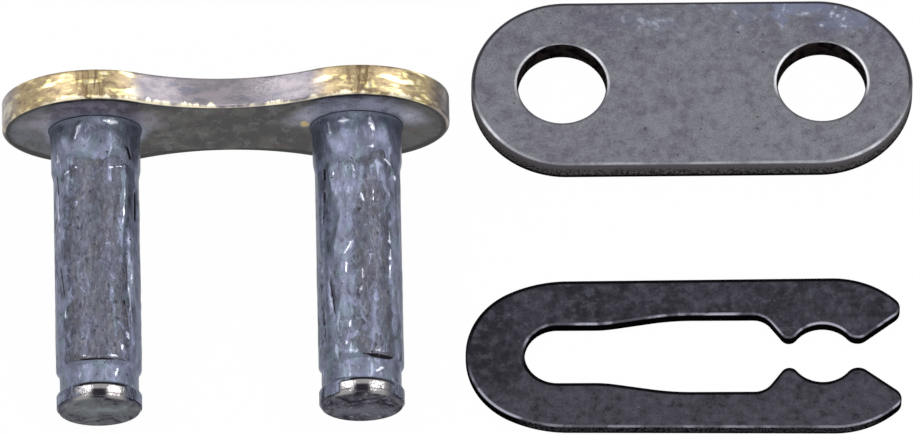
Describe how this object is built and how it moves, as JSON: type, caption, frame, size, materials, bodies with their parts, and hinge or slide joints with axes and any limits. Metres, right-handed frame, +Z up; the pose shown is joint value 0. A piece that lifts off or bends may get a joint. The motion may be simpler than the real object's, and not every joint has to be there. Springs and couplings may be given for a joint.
{
  "type": "clip connecting link",
  "caption": "Clip connecting link of a roller chain, lying as loose pieces: waisted plate with riveted grooved pins, bored cover plate, and flat fish-tailed spring clip.",
  "frame": {"origin": "on the floor, at the centre of the set's bounding box seen from above", "axes": "+X along the plates and the clip, towards the clip's open end; +Y away from the pin tips, towards the pin link's plate; +Z up"},
  "size_m": [0.0556, 0.03, 0.0114],
  "materials": {
    "gold_plated_steel": "thin gold-coloured plating, bright on the rim and worn dull grey on the inner face",
    "pin_steel": "ground hardened steel under a smeared film of grease",
    "plate_steel": "satin grey blanked steel with a bright rolled rim",
    "spring_steel": "dark tempered spring steel, mottled"
  },
  "bodies": {
    "root": {"pin_link_plate": "gold_plated_steel", "left_pin": "pin_steel", "right_pin": "pin_steel", "cover_plate": "plate_steel", "spring_clip": "spring_steel"}
  },
  "joints": []
}
